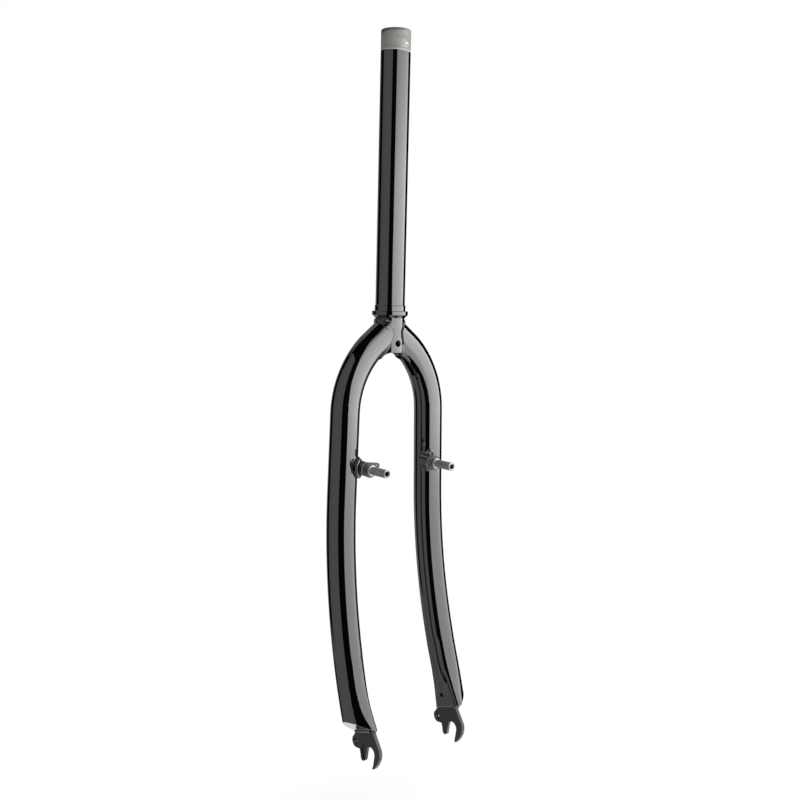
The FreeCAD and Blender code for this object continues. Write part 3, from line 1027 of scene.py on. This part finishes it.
@dataclass(frozen=True)
class Panel:
    """An upright soft panel beside the fork.

    Fields:
        span: first and last angle in degrees, to the right of the camera's direction.
        heights: lower and upper edge, in metres.
        radiance: its full brightness.
        full: heights between which it has its full brightness, in metres.
        low_share and high_share: shares of it at the lower and the upper edge.
        fade: height over which the lower share is reached, in metres.
        first_share: share of it at the first angle, growing to all of it at the panel's middle.
        edge: distance of its upright edges from the fork's axis, in metres.
        cut: share of its width, from the first angle on, that is dark low on the panel.
        cut_heights: heights between which the cut narrows to nothing, in metres.
    """

    name: str
    span: Pair
    heights: Pair
    radiance: float
    full: Pair = (-0.6, 0.55)
    low_share: float = 1.0
    high_share: float = 1.0
    fade: float = 0.12
    first_share: float = 1.0
    edge: float = 0.48
    cut: float = 0.0
    cut_heights: Pair = (-0.1, 0.05)

    def share_of_height(self, height: float) -> float:
        """Return where a height lies between the panel's edges, from 0 to 1."""
        return (height - self.heights[0]) / (self.heights[1] - self.heights[0])

    def brightness(self, tree: NodeTree) -> NodeSocket:
        """Add the panel's fall-off to its lamp's tree.

        Args:
            tree: the lamp's tree.

        Returns:
            The output with the share of the full brightness.
        """
        spot = add_node(tree, "ShaderNodeNewGeometry").outputs["Parametric"]
        across, height, _ = add_node(tree, "ShaderNodeSeparateXYZ", {"Vector": spot}).outputs
        low, high = (self.share_of_height(value) for value in self.full)
        faded = self.share_of_height(self.full[0] - self.fade)
        cut_limits = tuple(self.share_of_height(value) for value in self.cut_heights)
        cut = spread(tree, height, cut_limits, (self.cut, 0.0))
        beyond = add_node(tree, "ShaderNodeMath", {0: across, 1: cut}, operation="GREATER_THAN")
        share = beyond.outputs["Value"]
        for factor in (spread(tree, height, (faded, low), (self.low_share, 1.0)),
                       spread(tree, height, (high, 1.0), (1.0, self.high_share)),
                       spread(tree, across, (0.0, 0.5), (self.first_share, 1.0))):
            product = add_node(tree, "ShaderNodeMath", {0: share, 1: factor}, operation="MULTIPLY")
            share = product.outputs["Value"]
        return share


@dataclass
class Studio:
    """Floor, panels, dark surround, lamps, world and camera, with the photograph's view.

    Angles are in degrees from the camera's direction, to the right of it. Lengths are in metres.

    Fields:
        floor_drop: height of the fork's lowest point over the floor.
        floor_fade: radius where the floor starts to fade to white.
        floor_white: share of white in its middle.
        world_diffuse: strength of the even light, of the white that is seen.
    """

    azimuth: float = -38.691
    elevation: float = 6.0726
    roll: float = 1.351
    distance: float = 1.037109
    target_right: float = 0.0118345
    target_z: float = -0.087125
    focal_px: float = 1054.568
    frame_px: float = 800.0
    sensor_mm: float = 36.0
    panels: tuple[Panel, ...] = (
        Panel("right_panel", (13.0, 117.0), (-0.9, 0.65), 1.8, full=(-0.13, 0.16), high_share=0.1,
              cut=0.12),
        Panel("right_glow", (13.0, 117.0), (-0.25, 0.55), 1.3, full=(-0.13, 0.16), low_share=0.0,
              high_share=0.0, first_share=0.3, edge=0.465, cut=0.12),
        Panel("left_panel", (-101.0, -20.5), (-1.5, 1.35), 0.47, first_share=0.6, edge=1.5),
        Panel("low_left_panel", (-126.0, -101.0), (-1.5, -0.8), 0.28, edge=1.5),
        Panel("rim_panel", (-165.0, -130.0), (-0.9, 0.4), 0.35, full=(-0.35, -0.15), low_share=0.4,
              high_share=0.1, edge=0.3),
        Panel("rear_panel", (174.0, 186.0), (-0.9, 0.55), 1.0))
    overhead_radiance: float = 0.3
    overhead_place: Triple = (-0.15, 0.8, 0.9)
    overhead_size: Pair = (0.7, 0.7)
    surround_colour: str = "#060606"
    surround_r: float = 4.0
    surround_steps: tuple[int, int] = (48, 24)
    floor_colour: str = "#f4f4f4"
    floor_forward: float = 0.04
    floor_drop: float = 0.1
    floor_r: float = 0.17
    floor_steps: int = 96
    floor_fade: float = 0.1
    floor_white: float = 0.55
    world_diffuse: float = 0.45

    def direction(self, turn: float) -> Vector:
        """Return the level unit vector at an angle to the right of the camera's direction."""
        angle = math.radians(self.azimuth + turn)
        return Vector((math.sin(angle), -math.cos(angle), 0))

    def add_camera(self) -> None:
        """Make the camera with the photograph's place, roll and lens."""
        elevation, roll = math.radians(self.elevation), math.radians(self.roll)
        level = self.direction(0.0)
        back = level * math.cos(elevation) + Vector((0, 0, math.sin(elevation)))
        right = Vector((-level.y, level.x, 0))
        up = back.cross(right)
        turned_right = right * math.cos(roll) + up * math.sin(roll)
        turned_up = up * math.cos(roll) - right * math.sin(roll)
        place = right * self.target_right + Vector((0, 0, self.target_z)) + back * self.distance
        data = bpy.data.cameras.new("photo_camera")
        data.sensor_width = self.sensor_mm
        data.lens = self.focal_px * self.sensor_mm / self.frame_px
        camera = bpy.data.objects.new("photo_camera", data)
        turn = Matrix((turned_right, turned_up, back)).transposed().to_4x4()
        camera.matrix_world = Matrix.Translation(place) @ turn
        bpy.context.scene.collection.objects.link(camera)
        bpy.context.scene.camera = camera

    def add_lamp(self, name: str, size: Pair, radiance: float, place: Vector,
                 away: Vector) -> bpy.types.Light:
        """Add a soft panel lamp that the camera doesn't see.

        Args:
            name: the lamp's name.
            size: width and height of the panel.
            radiance: brightness of the panel's face.
            place: the panel's middle.
            away: direction of the panel's back.

        Returns:
            The lamp.
        """
        lamp = bpy.data.lights.new(name, "AREA")
        lamp.shape = "RECTANGLE"
        lamp.size, lamp.size_y = size
        lamp.energy = radiance * math.pi * size[0] * size[1]
        panel = bpy.data.objects.new(name, lamp)
        panel.location = place
        panel.rotation_euler = away.to_track_quat("Z", "Y").to_euler()
        panel.visible_camera = False
        bpy.context.scene.collection.objects.link(panel)
        return lamp

    def add_panel(self, panel: Panel) -> None:
        """Add an upright panel with its fall-off.

        Args:
            panel: where it stands and how bright it is.
        """
        half = math.radians((panel.span[1] - panel.span[0]) / 2)
        toward = self.direction((panel.span[0] + panel.span[1]) / 2)
        low, high = panel.heights
        place = toward * panel.edge * math.cos(half) + Vector((0, 0, (low + high) / 2))
        size = (2 * panel.edge * math.sin(half), high - low)
        lamp = self.add_lamp(panel.name, size, panel.radiance, place, toward)
        lamp.use_nodes = True
        tree = lamp.node_tree
        tree.nodes.clear()
        glow = add_node(tree, "ShaderNodeEmission", {"Strength": panel.brightness(tree)})
        add_node(tree, "ShaderNodeOutputLight", {"Surface": glow.outputs["Emission"]})

    def add_surround(self) -> None:
        """Add the dark surround that only reflections see."""
        shape = bmesh.new()
        around, upward = self.surround_steps
        bmesh.ops.create_uvsphere(shape, u_segments=around, v_segments=upward, radius=self.surround_r)
        bmesh.ops.reverse_faces(shape, faces=shape.faces)
        material, tree, output = new_material("black cloth")
        cloth = add_node(tree, "ShaderNodeEmission", {
            "Color": linear(self.surround_colour), "Strength": 1.0})
        tree.links.new(cloth.outputs["Emission"], output.inputs["Surface"])
        surround = link_object("dark_surround", shape, material)
        for kind in ("camera", "diffuse", "transmission", "volume_scatter", "shadow"):
            setattr(surround, "visible_" + kind, False)

    def add_floor(self) -> None:
        """Add the pale floor, which keeps the fork's shadow and fades to white."""
        middle = Vector((0, -self.floor_forward, CAD_BOX[0].z - self.floor_drop))
        shape = bmesh.new()
        bmesh.ops.create_circle(shape, cap_ends=True, segments=self.floor_steps, radius=self.floor_r,
                                matrix=Matrix.Translation(middle))
        material, tree, output = new_material("pale floor")
        away = add_node(tree, "ShaderNodeVectorMath", {0: object_place(tree), 1: middle},
                        operation="DISTANCE")
        fade = spread(tree, away.outputs["Value"], (self.floor_fade, self.floor_r), (self.floor_white, 1.0))
        pale = add_node(tree, "ShaderNodeBsdfDiffuse", {"Color": linear(self.floor_colour)})
        white = add_node(tree, "ShaderNodeEmission", {"Color": linear("#ffffff"), "Strength": 1.0})
        mix = add_node(tree, "ShaderNodeMixShader", {
            0: fade, 1: pale.outputs["BSDF"], 2: white.outputs["Emission"]})
        tree.links.new(mix.outputs["Shader"], output.inputs["Surface"])
        floor = link_object("floor", shape, material)

    def add_world(self) -> None:
        """Make the world white where it is seen and a soft even light elsewhere."""
        world = bpy.data.worlds.new("studio")
        bpy.context.scene.world = world
        world.use_nodes = True
        tree = world.node_tree
        tree.nodes.clear()
        ray = add_node(tree, "ShaderNodeLightPath").outputs
        seen = ray["Is Camera Ray"]
        for kind in ("Is Glossy Ray", "Is Transmission Ray"):
            seen = add_node(tree, "ShaderNodeMath", {0: seen, 1: ray[kind]},
                            operation="MAXIMUM").outputs["Value"]
        strength = spread(tree, seen, (0.0, 1.0), (self.world_diffuse, 1.0))
        sky = add_node(tree, "ShaderNodeBackground", {"Color": linear("#ffffff"), "Strength": strength})
        add_node(tree, "ShaderNodeOutputWorld", {"Surface": sky.outputs["Background"]})

    def build(self) -> None:
        """Make the whole studio."""
        bpy.context.scene.view_settings.view_transform = "Standard"
        self.add_camera()
        for panel in self.panels:
            self.add_panel(panel)
        overhead = Vector(self.overhead_place)
        self.add_lamp("overhead_panel", self.overhead_size, self.overhead_radiance, overhead, overhead)
        self.add_surround()
        self.add_floor()
        self.add_world()
        LOG.info("set up the studio with %d panels", len(self.panels))


def main() -> None:
    """Dress the fork, add its fine pieces and set up the studio."""
    logging.basicConfig(level=logging.INFO)
    finishes = Finishes()
    crown, mounts, dropouts = Crown(finishes), BrakeMounts(finishes), Dropouts(finishes)
    for part in (crown, mounts, dropouts):
        part.dress()
        part.build()
    Threads(finishes, mounts, dropouts).build()
    Studio().build()


if __name__ == "__main__":
    main()
